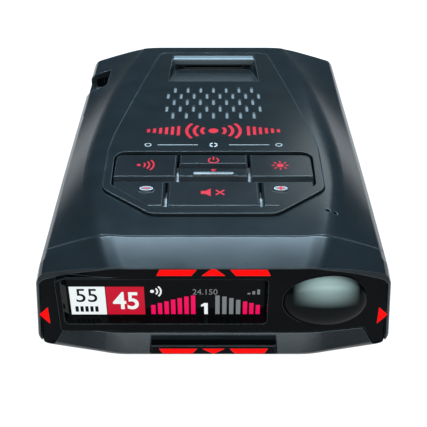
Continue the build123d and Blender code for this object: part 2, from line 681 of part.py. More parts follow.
def make_rear_horn():
    guide = block((5.4, 14.6), (-27.0, -22.1), (TOP_OF_BOARD, 14.4))
    return guide + horn((10, 12.6, 7.0, 3.2), (14, 15.4, 14.0, 9.2), -26.5, -56.0, 0.9)


def make_shield_cover():
    can = block((-17.0, 17.0), (-22.0, 12.0), (TOP_OF_BOARD, 14.2))
    can = fillet(can.edges().filter_by(Axis.Z), 1.0)
    return can - block((-16.6, 16.6), (-21.6, 11.6), (TOP_OF_BOARD - 1, 13.8))


def make_speaker_frame():
    flange = Pos(0, SPEAKER_Y, 26.5) * Cylinder(14.5, 1.4)
    basket = Pos(0, SPEAKER_Y, 22.2) * Cone(8.6, 13.4, 7.4)
    hollow = Pos(0, SPEAKER_Y, 23.4) * Cone(7.8, 12.8, 7.6)
    return flange + basket - hollow - disc(0, SPEAKER_Y, 15, 4.0, 8)


def make_speaker_cone():
    outer = Pos(0, SPEAKER_Y, 25.4) * Cone(4.2, 12.4, 3.6)
    inner = Pos(0, SPEAKER_Y, 25.75) * Cone(4.0, 12.4, 3.6)
    cap = Pos(0, SPEAKER_Y, 23.9) * Cylinder(4.3, 0.8)
    surround = disc(0, SPEAKER_Y, 27.2, 14.0, 0.4) - disc(0, SPEAKER_Y, 27.2, 12.0, 0.4)
    return outer - inner + cap + surround


def make_speaker_gasket():
    """Foam ring between the speaker and the underside of its cloth."""
    ring = disc(0, SPEAKER_Y, 27.6, 13.7, 8) - disc(0, SPEAKER_Y, 27.0, 12.2, 10)
    return ring & lowered(MESH_SKIN + 0.35)


def make_speaker_magnet():
    return Pos(0, SPEAKER_Y, 16.45) * Cylinder(8.2, 4.1)


def make_gps_patch():
    tile = block((19.5, 33.5), (34.5, 48.5), (TOP_OF_BOARD, 13.6))
    return tile + disc(27.1, 41.5, 13.6, 1.1, 0.3)


def make_processor():
    return block((-33.0, -21.0), (-4.0, 8.0), (TOP_OF_BOARD, 10.9))


def make_filter_capacitors():
    spots = ((-33.0, 15.0), (-25.5, 15.0), (-33.0, 23.0))
    return Compound([disc(x, y, TOP_OF_BOARD, 3.1, 7.5) for x, y in spots])


# ---------------------------------------------------------------- sockets
def make_power_jack():
    body = block((-41.4, -26.0), (POWER_Y - 6.6, POWER_Y + 6.6), (TOP_OF_BOARD, 20.9))
    body = body - block((-45, -29.6), (POWER_Y - 4.95, POWER_Y + 4.95), (POWER_Z - 3.45, POWER_Z + 3.45))
    latch = block((-45, -33.0), (POWER_Y - 3.1, POWER_Y + 3.1), (POWER_Z, POWER_Z + 5.0))
    return body - latch - block((-45, -37.5), (POWER_Y - 1.8, POWER_Y + 1.8), (POWER_Z, 30))


def make_power_jack_contacts():
    low = POWER_Z - 3.45
    wire = polygon([(-40.0, low), (-40.0, low + 0.4), (-31.0, low + 1.5), (-29.6, low + 1.5),
                    (-29.6, low + 1.1), (-30.9, low + 1.1)])
    rows = [POWER_Y + (i - 2.5) * 1.02 for i in range(6)]
    return Compound([along_y(wire, y - 0.2, y + 0.2) for y in rows])


def make_audio_jack():
    body = block((27.6, 40.6), (AUDIO_Y - 3.0, AUDIO_Y + 3.0), (TOP_OF_BOARD, 15.8))
    nose = Pos(41.8, AUDIO_Y, AUDIO_Z) * Rot(0, 90, 0) * Cylinder(3.0, 2.8)
    return body + nose - Pos(36.2, AUDIO_Y, AUDIO_Z) * Rot(0, 90, 0) * Cylinder(AUDIO_R, 14.0)


def make_usb_port():
    shell = Pos(39.8, USB_Y, USB_Z) * Box(5.6, 7.7, 3.1)
    shell = fillet(shell.edges().filter_by(Axis.X), 0.6)
    shell = shell - Pos(40.4, USB_Y, USB_Z) * Box(5.6, 7.0, 2.4)
    return shell + Pos(39.2, USB_Y, USB_Z + 0.3) * Box(4.4, 5.4, 0.7)


def ribbon(points, width, thickness, x):
    """Flat cable that follows a path in Y and Z."""
    lower = [(y, z - thickness) for y, z in reversed(points)]
    return along_x(polygon(points + lower), x - width / 2, x + width / 2)


def make_display_ribbon():
    end = TOP_OF_BOARD + 0.3
    path = [(-59.25, 14.0), (-57.0, 13.6), (-55.5, 11.6), (-53.0, end), (-47.0, end)]
    return ribbon(path, 12.0, 0.25, -14.0)


def make_keypad_ribbon():
    low = PAD_BOTTOM - 1.07
    end = TOP_OF_BOARD + 0.5
    path = [(-46.0, low), (-41.0, low), (-38.5, 24.0), (-34.0, 12.0), (-32.0, end), (-27.0, end)]
    return ribbon(path, 9.0, 0.4, -12.0)


# ---------------------------------------------------------------- screws
def screw(x, y, head_z, head_r, head_h, shank_r, shank_end, up):
    """Cross-head screw whose head sits at head_z and whose shank ends at shank_end."""
    sign = 1 if up else -1
    head = Pos(x, y, head_z + sign * head_h / 2) * Cylinder(head_r, head_h)
    low, high = sorted((head_z, shank_end))
    shank = disc(x, y, low, shank_r, high - low)
    cross = Box(head_r * 1.3, 0.5, 0.9) + Box(0.5, head_r * 1.3, 0.9)
    return head + shank - Pos(x, y, head_z) * cross


def make_case_screws():
    return Compound([screw(x, y, 1.3, 2.7, 1.9, 1.1, 19.0, True) for x, y in POSTS])


def make_board_screws():
    return Compound([screw(x, y, TOP_OF_BOARD + 1.2, 1.9, 1.2, 0.8, 5.0, False) for x, y in STANDOFFS])


NODES = {
    "top_cover": make_top_cover,
    "bottom_cover": make_bottom_cover,
    "rear_bezel": make_rear_bezel,
    "face_mask": make_face_mask,
    "lower_light_bar": make_lower_light_bar,
    "upper_alert_lights": make_upper_lights,
    "lower_alert_lights": make_lower_lights,
    "left_alert_light": lambda: make_side_light(-1),
    "right_alert_light": lambda: make_side_light(1),
    "front_window": make_front_window,
    "control_panel": make_control_panel,
    "speaker_mesh": make_speaker_mesh,
    "mount_dock": make_mount_dock,
    "dock_strike_bar": make_strike_bar,
    "dock_magnets": make_dock_magnets,
    "key_pad": make_key_pad,
    "key_board": make_key_board,
    "key_switches": make_key_switches,
    "light_sensor": make_light_sensor,
    "microphone": make_microphone,
    "display_window": make_display_window,
    "display_module": make_display_module,
    "display_board": make_display_board,
    "rear_laser_dome": make_dome,
    "rear_laser_sensor": make_rear_laser_sensor,
    "main_board": make_main_board,
    "front_horn": make_front_horn,
    "rear_horn": make_rear_horn,
    "shield_cover": make_shield_cover,
    "speaker_frame": make_speaker_frame,
    "speaker_cone": make_speaker_cone,
    "speaker_gasket": make_speaker_gasket,
    "speaker_magnet": make_speaker_magnet,
    "gps_patch": make_gps_patch,
    "processor": make_processor,
    "filter_capacitors": make_filter_capacitors,
    "front_laser_lenses": lambda: Compound([front_lens(x) for x in (-LENS_X, LENS_X)]),
    "power_jack": make_power_jack,
    "power_jack_contacts": make_power_jack_contacts,
    "audio_jack": make_audio_jack,
    "usb_port": make_usb_port,
    "display_ribbon": make_display_ribbon,
    "keypad_ribbon": make_keypad_ribbon,
    "case_screws": make_case_screws,
    "board_screws": make_board_screws,
}


def front_lens(x):
    """Lens barrel behind the front window, with a bulging end."""
    barrel = Pos(x, 60.5, LENS_Z) * Rot(90, 0, 0) * Cylinder(LENS_R, 6.0)
    bulge = Pos(x, 63.5, LENS_Z) * scale(Sphere(1.0), by=(LENS_R - 0.3, 1.2, LENS_R - 0.3))
    foot = block((x - 3.0, x + 3.0), (57.6, 62.0), (TOP_OF_BOARD, LENS_Z))
    return barrel + bulge + foot


for node, make in NODES.items():
    os.makedirs("parts", exist_ok=True)
    export_step(make(), f"parts/{node}.step")
for node in KEY_CELLS:
    export_step(make_key(node), f"parts/{node}.step")
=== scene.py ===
"""Look of the windscreen radar detector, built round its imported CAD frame.

Lengths are in metres, except where a name or a comment says mm.
"""

import json
import math

import bmesh
import bpy
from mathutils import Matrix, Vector
from mathutils.bvhtree import BVHTree

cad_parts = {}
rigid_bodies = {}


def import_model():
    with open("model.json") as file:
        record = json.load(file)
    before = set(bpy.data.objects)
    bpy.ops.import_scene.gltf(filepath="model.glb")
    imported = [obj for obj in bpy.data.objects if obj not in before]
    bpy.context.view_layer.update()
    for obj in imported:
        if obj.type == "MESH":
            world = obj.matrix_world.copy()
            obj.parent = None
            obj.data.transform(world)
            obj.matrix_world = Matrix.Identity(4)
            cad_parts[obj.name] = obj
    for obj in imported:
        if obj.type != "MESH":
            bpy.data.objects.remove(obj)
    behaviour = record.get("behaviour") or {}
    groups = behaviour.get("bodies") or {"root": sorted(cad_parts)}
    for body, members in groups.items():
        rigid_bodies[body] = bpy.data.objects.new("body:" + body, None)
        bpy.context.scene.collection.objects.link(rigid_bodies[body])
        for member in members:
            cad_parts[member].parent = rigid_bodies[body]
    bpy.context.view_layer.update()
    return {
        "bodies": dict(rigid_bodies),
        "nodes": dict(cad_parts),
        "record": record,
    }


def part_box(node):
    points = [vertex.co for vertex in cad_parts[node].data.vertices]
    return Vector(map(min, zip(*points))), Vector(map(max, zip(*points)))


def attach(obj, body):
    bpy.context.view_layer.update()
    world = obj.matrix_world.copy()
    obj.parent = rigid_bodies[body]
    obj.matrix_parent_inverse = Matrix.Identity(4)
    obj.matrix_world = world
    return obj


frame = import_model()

MM = 0.001
CASE = "case"
NODES = frame["nodes"]
SCENE = bpy.context.scene
GLASS_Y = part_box("display_window")[0][1] / MM   # front of the display glass, in mm

# ---------------------------------------------------------------- materials
SLOW_RANGE = (0.3, 0.7)         # what the slow noise mostly lies between
EDGE_WEAR_AND_HIGHLIGHT_RANGE = (0.004, 0.12)      # bend of the rounded normal at which the lighter edge, wear and painted highlight, starts and is full
PATCHY = (0.25, 0.6, 0.45, 1.0)     # slow noise, and how much of the lighter edge, wear and painted highlight, it leaves
LIT_DARKEN = (0.93, 0.96)       # part of the base colour that a lit surface gives up
THREAD_RANGE = (0.35, 0.9)      # height in the weave from the foot of a hole to the top of a thread
HOLE_SHADE = 0.25               # part of the cloth's colour that is left in a hole, as painted shade
PAINTED_HIGHLIGHT_RISE = (0.06, 0.78)        # height on the dome, from -1 to 1, where the painted highlight starts and is full
PAINTED_HIGHLIGHT_END = 0.62                 # squared way to the dome's ends where the painted highlight stops
COAT_ROUGHNESS = 0.06
BEVEL_SAMPLES = 6


def link(tree, source, target):
    tree.links.new(source, target)


def set_or_link(tree, value, socket):
    if isinstance(value, bpy.types.NodeSocket):
        link(tree, value, socket)
    else:
        socket.default_value = value


def math_node(tree, operation, *values):
    node = tree.nodes.new("ShaderNodeMath")
    node.operation = operation
    for socket, value in zip(node.inputs, values):
        set_or_link(tree, value, socket)
    return node.outputs[0]


def map_range(tree, value, low, high, to_low, to_high):
    node = tree.nodes.new("ShaderNodeMapRange")
    link(tree, value, node.inputs["Value"])
    for name, number in (("From Min", low), ("From Max", high), ("To Min", to_low), ("To Max", to_high)):
        node.inputs[name].default_value = number
    return node.outputs["Result"]


def mix_color(tree, factor, a, b):
    """Mix of two colours, each a triple or a socket."""
    node = tree.nodes.new("ShaderNodeMix")
    node.data_type = "RGBA"
    link(tree, factor, node.inputs[0])
    for socket, value in ((node.inputs[6], a), (node.inputs[7], b)):
        set_or_link(tree, (*value, 1.0) if isinstance(value, tuple) else value, socket)
    return node.outputs[2]


def noise(tree, coordinates, size_mm, detail=3.0):
    node = tree.nodes.new("ShaderNodeTexNoise")
    link(tree, coordinates, node.inputs["Vector"])
    node.inputs["Scale"].default_value = 1.0 / (size_mm * MM)
    node.inputs["Detail"].default_value = detail
    node.inputs["Roughness"].default_value = 0.55
    return node.outputs["Fac"]


def object_coordinates(tree, stretch=(1, 1, 1)):
    coordinates = tree.nodes.new("ShaderNodeTexCoord").outputs["Object"]
    if stretch == (1, 1, 1):
        return coordinates
    mapping = tree.nodes.new("ShaderNodeMapping")
    mapping.inputs["Scale"].default_value = stretch
    link(tree, coordinates, mapping.inputs["Vector"])
    return mapping.outputs["Vector"]


def separate_xyz(tree):
    node = tree.nodes.new("ShaderNodeSeparateXYZ")
    link(tree, object_coordinates(tree), node.inputs[0])
    return node.outputs


def bump_normal(tree, height, depth_mm, under=None):
    """Normal of a surface with that height pattern, on top of the normal that lies under it."""
    bump = tree.nodes.new("ShaderNodeBump")
    bump.inputs["Strength"].default_value = 1.0
    bump.inputs["Distance"].default_value = depth_mm * MM
    link(tree, height, bump.inputs["Height"])
    if under is not None:
        link(tree, under, bump.inputs["Normal"])
    return bump.outputs[0]


def finish(name, color, rough, *, metal=0.0, specular=0.5, coat=0.0, grain=0.35, depth=0.006, mottle=0.12,
           rough_vary=0.05, edge=None, edge_mm=0.25, stretch=(1, 1, 1), patch=9.0, glow=0.0, sheen=0.0):
    """A surface with fine grain, slow colour and gloss variation, and softened, lighter edges.

    grain, depth, edge_mm and patch are in mm. edge is the colour of the edges, partly wear and partly
    painted edge highlight. A surface that glows shines in its own colour.
    """
    material = bpy.data.materials.new(name)
    material.use_nodes = True
    tree = material.node_tree
    shader = tree.nodes["Principled BSDF"]
    coordinates = object_coordinates(tree, stretch)
    fine = noise(tree, coordinates, grain)
    slow = noise(tree, coordinates, patch, 4.0)
    darker = tuple(c * (1 - mottle) for c in color)
    lighter = tuple(min(1.0, c * (1 + mottle)) for c in color)
    tint = mix_color(tree, map_range(tree, slow, *SLOW_RANGE, 0.0, 1.0), darker, lighter)
    smoothest, roughest = max(0.02, rough - rough_vary), min(1.0, rough + rough_vary)
    roughness = map_range(tree, slow, *SLOW_RANGE, smoothest, roughest)
    bevel = tree.nodes.new("ShaderNodeBevel")
    bevel.samples = BEVEL_SAMPLES
    bevel.inputs["Radius"].default_value = edge_mm * MM
    rounded = bevel.outputs[0]
    # lighter edges where the rounded normal bends: partly wear, partly painted edge highlight
    if edge:
        flat = tree.nodes.new("ShaderNodeNewGeometry").outputs["Normal"]
        dot = tree.nodes.new("ShaderNodeVectorMath")
        dot.operation = "DOT_PRODUCT"
        link(tree, rounded, dot.inputs[0])
        link(tree, flat, dot.inputs[1])
        bend = math_node(tree, "SUBTRACT", 1.0, dot.outputs["Value"])
        edge_wear_and_highlight = map_range(tree, bend, *EDGE_WEAR_AND_HIGHLIGHT_RANGE, 0.0, 1.0)
        patchy_edge_wear_and_highlight = math_node(tree, "MULTIPLY", edge_wear_and_highlight, map_range(tree, slow, *PATCHY))
        tint = mix_color(tree, patchy_edge_wear_and_highlight, tint, edge)
    base = tint
    if glow:
        link(tree, tint, shader.inputs["Emission Color"])
        shader.inputs["Emission Strength"].default_value = glow
        base = mix_color(tree, map_range(tree, slow, *SLOW_RANGE, *LIT_DARKEN), tint, (0.0, 0.0, 0.0))
    link(tree, base, shader.inputs["Base Color"])
    link(tree, roughness, shader.inputs["Roughness"])
    link(tree, bump_normal(tree, fine, depth, rounded), shader.inputs["Normal"])
    for socket, value in (("Metallic", metal), ("Specular IOR Level", specular), ("Coat Weight", coat),
                          ("Coat Roughness", COAT_ROUGHNESS), ("Sheen Weight", sheen)):
        shader.inputs[socket].default_value = value
    return material


def woven(name, color, pitch_mm):
    """Acoustic cloth: two crossed sets of threads with open holes between them, darkened by painted shade.
    """
    material = finish(name, color, 0.8, grain=0.12, depth=0.01, mottle=0.2, rough_vary=0.08)
    tree = material.node_tree
    shader = tree.nodes["Principled BSDF"]
    places = separate_xyz(tree)
    threads = []
    for axis in "XY":
        angle = math_node(tree, "MULTIPLY", places[axis], 2 * math.pi / (pitch_mm * MM))
        threads.append(math_node(tree, "ABSOLUTE", math_node(tree, "SINE", angle)))
    height = math_node(tree, "MAXIMUM", *threads)
    # painted shade: the threads darken towards the foot of each hole
    shade = map_range(tree, height, *THREAD_RANGE, 0.0, 1.0)
    hole = tuple(c * HOLE_SHADE for c in color)
    link(tree, mix_color(tree, shade, hole, color), shader.inputs["Base Color"])
    link(tree, bump_normal(tree, height, 0.05), shader.inputs["Normal"])
    return material


CLEAR = {"grain": 2.5, "depth": 0.002, "rough_vary": 0.02}


def dome_lens_with_painted_highlight():
    """Dark lens with a painted highlight that turns it grey towards its top and leaves it dark towards its
    ends.
    """
    material = finish("dome_lens", (0.0016, 0.0020, 0.0020), 0.20, specular=0.05, **CLEAR)
    tree = material.node_tree
    low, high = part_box("rear_laser_dome")
    places = separate_xyz(tree)
    across, up = [
        math_node(tree, "DIVIDE", math_node(tree, "SUBTRACT", places[axis], (low[k] + high[k]) / 2),
                  (high[k] - low[k]) / 2)
        for k, axis in ((0, "X"), (2, "Z"))
    ]
    squared = math_node(tree, "POWER", math_node(tree, "ABSOLUTE", across), 2.0)
    ends = map_range(tree, squared, 0.0, PAINTED_HIGHLIGHT_END, 1.0, 0.0)
    rise = map_range(tree, up, *PAINTED_HIGHLIGHT_RISE, 0.0, 1.0)
    # painted highlight: grey over the top of the dome, fading to near black below and at the ends
    painted_highlight = math_node(tree, "MULTIPLY", rise, ends)
    shade = mix_color(tree, painted_highlight, (0.0010, 0.0014, 0.0014), (0.125, 0.158, 0.152))
    link(tree, shade, tree.nodes["Principled BSDF"].inputs["Base Color"])
    return material


# edge: lighter edges, partly wear and partly painted edge highlight
MATTE = {"grain": 0.3, "depth": 0.006, "edge": (0.026, 0.034, 0.040), "edge_mm": 0.3, "specular": 0.15,
         "rough_vary": 0.012}
METAL = {"metal": 1.0, "grain": 0.3, "depth": 0.005}
LIT = {"grain": 0.3, "depth": 0.002, "specular": 0.05}
LOOKS = {
    "case_plastic": finish("case_plastic", (0.0032, 0.0044, 0.0052), 0.19, **MATTE),
    "panel_plastic": finish("panel_plastic", (0.0030, 0.0040, 0.0045), 0.22, **MATTE),
    "key_plastic": finish("key_plastic", (0.0026, 0.0034, 0.0040), 0.24, **MATTE),
    # edge: the mask's light edge lines, partly wear and partly painted edge highlight
    "mask_gloss": finish("mask_gloss", (0.0012, 0.0013, 0.0015), 0.10, specular=0.03,
                         edge=(0.035, 0.042, 0.046), edge_mm=0.2, **CLEAR),
    "ir_window": finish("ir_window", (0.012, 0.003, 0.005), 0.08, edge=(0.08, 0.03, 0.04), **CLEAR),
    "red_light_guide": finish("red_light_guide", (0.80, 0.0015, 0.0012), 0.3, specular=0.03, grain=0.8,
                              depth=0.004, mottle=0.04, patch=3.0, glow=1.25),
    "display_glass": finish("display_glass", (0.0010, 0.0010, 0.0012), 0.06, specular=0.04, **CLEAR),
    "dome_lens": dome_lens_with_painted_highlight(),
    "lens_plastic": finish("lens_plastic", (0.03, 0.008, 0.015), 0.1, **CLEAR),
    "bar_steel": finish("bar_steel", (0.09, 0.105, 0.115), 0.42, metal=0.85, grain=0.25, depth=0.01,
                        stretch=(0.06, 1, 1), mottle=0.2),
    "magnet_steel": finish("magnet_steel", (0.6, 0.6, 0.62), 0.25, **METAL),
    "screw_steel": finish("screw_steel", (0.06, 0.06, 0.065), 0.35, edge=(0.4, 0.4, 0.42), **METAL),
    "tin_steel": finish("tin_steel", (0.62, 0.62, 0.64), 0.3, stretch=(0.1, 1, 1), **METAL),
    "speaker_steel": finish("speaker_steel", (0.42, 0.42, 0.43), 0.4, **METAL),
    "cast_metal": finish("cast_metal", (0.5, 0.51, 0.53), 0.5, metal=1.0, grain=0.5, depth=0.03,
                         mottle=0.15),
    "circuit_board": finish("circuit_board", (0.01, 0.11, 0.045), 0.35, grain=1.2, depth=0.015, mottle=0.35,
                            patch=2.0, coat=0.3),
    "silicone": finish("silicone", (0.45, 0.46, 0.47), 0.55, grain=0.5, depth=0.006, sheen=0.2),
    "chip_plastic": finish("chip_plastic", (0.02, 0.02, 0.021), 0.55, grain=0.2, depth=0.008,
                           edge=(0.1, 0.1, 0.1)),
    "ceramic": finish("ceramic", (0.62, 0.53, 0.4), 0.5, grain=0.4, depth=0.01, mottle=0.1),
    "capacitor_can": finish("capacitor_can", (0.5, 0.5, 0.52), 0.3, stretch=(1, 1, 0.1), **METAL),
    "speaker_cloth": woven("speaker_cloth", (0.026, 0.032, 0.034), 0.5),
    "speaker_paper": finish("speaker_paper", (0.03, 0.03, 0.032), 0.85, grain=0.5, depth=0.04, mottle=0.3),
    "foam": finish("foam", (0.02, 0.02, 0.02), 0.9, grain=0.4, depth=0.1, mottle=0.4),
    "socket_plastic": finish("socket_plastic", (0.006, 0.006, 0.007), 0.4, grain=0.3, depth=0.006,
                             specular=0.3, edge=(0.08, 0.08, 0.085)),
    "gold_wire": finish("gold_wire", (0.75, 0.5, 0.16), 0.25, **METAL),
    "ribbon_film": finish("ribbon_film", (0.42, 0.2, 0.03), 0.35, grain=0.5, depth=0.01, stretch=(6, 1, 1),
                          mottle=0.25, patch=1.2),
}
INK = {
    # the red legends and the emblem are print; their glow is painted light that makes them brighter
    "legend_red_painted_glow": finish("legend_red_painted_glow", (0.64, 0.012, 0.040), 0.45, grain=0.2, depth=0.004, glow=1.0,
                         specular=0.1),
    "legend_grey": finish("legend_grey", (0.17, 0.18, 0.185), 0.5, grain=0.2, depth=0.004, mottle=0.08,
                          specular=0.2),
    "lit_white": finish("lit_white", (0.76, 0.80, 0.80), 0.4, mottle=0.03, patch=4.0, glow=1.0, **LIT),
    "lit_red": finish("lit_red", (0.50, 0.007, 0.026), 0.4, mottle=0.06, patch=4.0, glow=1.0, **LIT),
    "lit_pink": finish("lit_pink", (0.80, 0.004, 0.10), 0.4, mottle=0.05, glow=1.0, **LIT),
    "lit_grey": finish("lit_grey", (0.17, 0.185, 0.19), 0.4, mottle=0.06, glow=1.0, **LIT),
    "ink_black": finish("ink_black", (0.002, 0.002, 0.003), 0.3, mottle=0.1, **LIT),
    # lighter caps with bright edges for the nubs: painted highlight
    "nub_painted_highlight": finish("nub_painted_highlight", (0.035, 0.041, 0.045), 0.35, grain=0.25, depth=0.006,
                       edge=(0.4, 0.43, 0.45)),
}

for entry in frame["record"]["subparts"]:
    node = NODES[entry["node"]]
    node.data.materials.clear()
    node.data.materials.append(LOOKS[entry["material_slot"]])


# ---------------------------------------------------------------- flat shapes, in mm
# each is a list of faces, and a face is a list of points
def polar(x, y, r, angle):
    return (x + r * math.cos(angle), y + r * math.sin(angle))


def turns(steps, shift=0.0):
    """Angles of that many even steps round a circle."""
    return [2 * math.pi * (i + shift) / steps for i in range(steps)]


def disc(x, y, r, steps=28):
    return [[polar(x, y, r, a) for a in turns(steps)]]


def oval(x, y, half_x, half_y, steps=32):
    return [[(x + half_x * math.cos(a), y + half_y * math.sin(a)) for a in turns(steps)]]


def pill(x, y, reach, r, steps=24):
    """Two half discs joined by a bar, with their middles at that reach to each side of x."""
    return [[polar(x + math.copysign(reach, math.cos(a)), y, r, a) for a in turns(steps, 0.5)]]


def arc(x, y, r, width, start, end, steps=14):
    """Band of a circle from start to end, in degrees."""
    quads = []
    for i in range(steps):
        a, b = (math.radians(start + (end - start) * k / steps) for k in (i, i + 1))
        inner, outer = r - width / 2, r + width / 2
        quads.append([polar(x, y, q, t) for q, t in ((inner, a), (outer, a), (outer, b), (inner, b))])
    return quads


def waves(x, y, radii, width, spread, steps=14):
    """Arcs that open towards +X, each that many degrees to both sides."""
    return [face for r in radii for face in arc(x, y, r, width, -spread, spread, steps)]


def bar(x0, y0, x1, y1):
    return [[(x0, y0), (x1, y0), (x1, y1), (x0, y1)]]


def stroke(a, b, width):
    """Straight line of that width between two points."""
    dx, dy = b[0] - a[0], b[1] - a[1]
    scale = width / 2 / math.hypot(dx, dy)
    nx, ny = -dy * scale, dx * scale
    return [[(a[0] + nx, a[1] + ny), (a[0] - nx, a[1] - ny), (b[0] - nx, b[1] - ny), (b[0] + nx, b[1] + ny)]]


def moved(faces, x, y):
    return [[(px + x, py + y) for px, py in face] for face in faces]


def both_sides(faces):
    return faces + [[(-x, y) for x, y in face] for face in faces]


def numerals(text, x, y, bold=0.0):
    """Digits that fill the box given by the ranges x and y."""
    curve = bpy.data.curves.new("digits", "FONT")
    curve.body, curve.offset, curve.resolution_u = text, bold, 4
    holder = bpy.data.objects.new("digits", curve)
    SCENE.collection.objects.link(holder)
    mesh = bpy.data.meshes.new_from_object(holder.evaluated_get(bpy.context.evaluated_depsgraph_get()))
    points = [(v.co.x, v.co.y) for v in mesh.vertices]
    low = [min(p[k] for p in points) for k in (0, 1)]
    high = [max(p[k] for p in points) for k in (0, 1)]
    fitted = [tuple(r[0] + (p[k] - low[k]) / (high[k] - low[k]) * (r[1] - r[0]) for k, r in ((0, x), (1, y)))
              for p in points]
    faces = [[fitted[i] for i in polygon.vertices] for polygon in mesh.polygons]
    bpy.data.objects.remove(holder)
    bpy.data.curves.remove(curve)
    bpy.data.meshes.remove(mesh)
    return faces


def clockwise(face):
    return sum(a[0] * b[1] - b[0] * a[1] for a, b in zip(face, face[1:] + face[:1])) < 0


def raise_shape(name, faces, top, bottom, material, body):
    """Closed thin prism over flat faces: top and bottom turn a flat point into a place in mm."""
    flat = bmesh.new()
    for face in faces:
        points = face[::-1] if clockwise(face) else face
        flat.faces.new([flat.verts.new((x, y, 0)) for x, y in points])
    bmesh.ops.remove_doubles(flat, verts=flat.verts, dist=1e-4)
    solid = bmesh.new()
    upper, lower = {}, {}
    for v in flat.verts:
        upper[v] = solid.verts.new(Vector(top(v.co.x, v.co.y)) * MM)
        lower[v] = solid.verts.new(Vector(bottom(v.co.x, v.co.y)) * MM)
    for f in flat.faces:
        solid.faces.new([upper[v] for v in f.verts])
        solid.faces.new([lower[v] for v in reversed(f.verts)])
    for e in flat.edges:
        if len(e.link_faces) == 1:
            loop = e.link_loops[0]
            a, b = loop.vert, loop.link_loop_next.vert
            solid.faces.new([upper[b], upper[a], lower[a], lower[b]])
    bmesh.ops.recalc_face_normals(solid, faces=solid.faces)
    mesh = bpy.data.meshes.new(name)
    solid.to_mesh(mesh)
    flat.free()
    solid.free()
    piece = bpy.data.objects.new(name, mesh)
    SCENE.collection.objects.link(piece)
    mesh.materials.append(INK[material])
    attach(piece, body)


# ---------------------------------------------------------------- legends on the panel and the keys
INK_LIFT, INK_SINK = 0.035, 0.05    # mm above and below the surface
NUB_LIFT = 0.02                     # mm, so that the ink on a nub stands above the painted highlight cap on it
RAY_START = 0.06                    # a height above the whole object

# middles of the signs, in mm
SENSITIVITY = (-20.4, -28.3)
POWER = (0.0, -25.8)
PIN = (0.0, -30.55)
SUN = (18.2, -28.5)
SPEAKER = (-0.4, -41.8)
MARK_NUB_Y = -33.2
VOLUME_X, VOLUME_Y = 17.5, -40.6
EMBLEM_Y = -9.4
RULE_Y = -18.1


def surface_of(node):
    """Height of a CAD node's upper surface at a place, in mm."""
    mesh = NODES[node].data
    tree = BVHTree.FromPolygons([v.co for v in mesh.vertices], [tuple(p.vertices) for p in mesh.polygons])

    def height(x, y):
        hit = tree.ray_cast(Vector((x * MM, y * MM, RAY_START)), Vector((0, 0, -1)))[0]
        if hit is None:
            raise ValueError(f"{node} has no surface at {x:.2f}, {y:.2f}")
        return hit.z / MM

    return height


def legend(name, node, faces, material="legend_red_painted_glow", lift=INK_LIFT):
    """Inked shape, or painted highlight, that lies on a key and moves with it, or lies on the panel."""
    height = surface_of(node)
    body = node if node in frame["bodies"] else CASE
    raise_shape(name, faces, lambda x, y: (x, y, height(x, y) + lift),
                lambda x, y: (x, y, height(x, y) - INK_SINK), material, body)


# sensitivity: a source with three waves
source = disc(*SENSITIVITY, 0.55)
legend("legend_sensitivity", "sensitivity_key", source + waves(*SENSITIVITY, (1.7, 2.9, 4.1), 0.5, 38))
# power: broken ring with a bar
ring = arc(*POWER, 1.35, 0.42, 125, 415, 26)
legend("legend_power", "power_key", ring + moved(bar(-0.21, 0.2, 0.21, 1.9), *POWER))
# mark: a map pin
pin = [polar(*PIN, 0.72, math.radians(a)) for a in range(-30, 211, 20)]
legend("legend_mark", "mark_key", [pin + [(PIN[0], PIN[1] - 1.2)]])
# brightness: a sun
rays = [face for a in turns(8) for face in stroke(polar(*SUN, 1.45, a), polar(*SUN, 2.3, a), 0.42)]
legend("legend_brightness", "brightness_key", disc(*SUN, 0.95) + rays)
# painted highlights on the three nubs: lighter caps with bright edges over their tops
legend("painted_highlight_on_mark_nub", "mark_key", pill(0.0, MARK_NUB_Y, 4.8, 0.5), "nub_painted_highlight", NUB_LIFT)
legend("painted_highlight_on_volume_down_nub", "volume_down_key", oval(-VOLUME_X, VOLUME_Y, 1.75, 0.9), "nub_painted_highlight", NUB_LIFT)
legend("painted_highlight_on_volume_up_nub", "volume_up_key", oval(VOLUME_X, VOLUME_Y, 1.75, 0.9), "nub_painted_highlight", NUB_LIFT)
# volume: minus and plus, and the plus is five faces that share their edges
legend("legend_volume_down", "volume_down_key", moved(bar(-1.0, -0.25, 1.0, 0.25), -VOLUME_X, VOLUME_Y))
plus = [(-1.0, -0.25, -0.25, 0.25), (0.25, -0.25, 1.0, 0.25), (-0.25, -0.25, 0.25, 0.25),
        (-0.25, 0.25, 0.25, 0.85), (-0.25, -0.85, 0.25, -0.25)]
legend("legend_volume_up", "volume_up_key",
       moved([face for corners in plus for face in bar(*corners)], VOLUME_X, VOLUME_Y))
# mute: a loudspeaker and a cross, whose second arm is in two halves beside the first
speaker = [[(-2.9, -0.7), (-1.7, -0.7), (-0.3, -1.8), (-0.3, 1.8), (-1.7, 0.7), (-2.9, 0.7)]]
first_arm = stroke((1.0, -1.1), (3.2, 1.1), 0.5)
second_arm = stroke((1.0, 1.1), (1.85, 0.25), 0.5) + stroke((2.35, -0.25), (3.2, -1.1), 0.5)
legend("legend_mute", "mute_key", moved(speaker + first_arm, *SPEAKER))
legend("legend_mute_cross", "mute_key", moved(second_arm, *SPEAKER))

# emblem: a source with waves to both sides, and rows of ticks that get shorter outwards
legend("emblem_source", "control_panel", disc(0, EMBLEM_Y, 1.45, 36))
legend("emblem_waves", "control_panel", both_sides(waves(0, EMBLEM_Y, (3.4, 5.6, 7.8), 0.95, 36, 12)))
ticks = []
for i in range(6):
    x, half = 10.2 + 1.75 * i, 2.9 - 0.38 * i
    ticks += bar(x - 0.45, EMBLEM_Y - half, x + 0.45, EMBLEM_Y + half)
legend("emblem_ticks", "control_panel", both_sides(ticks))
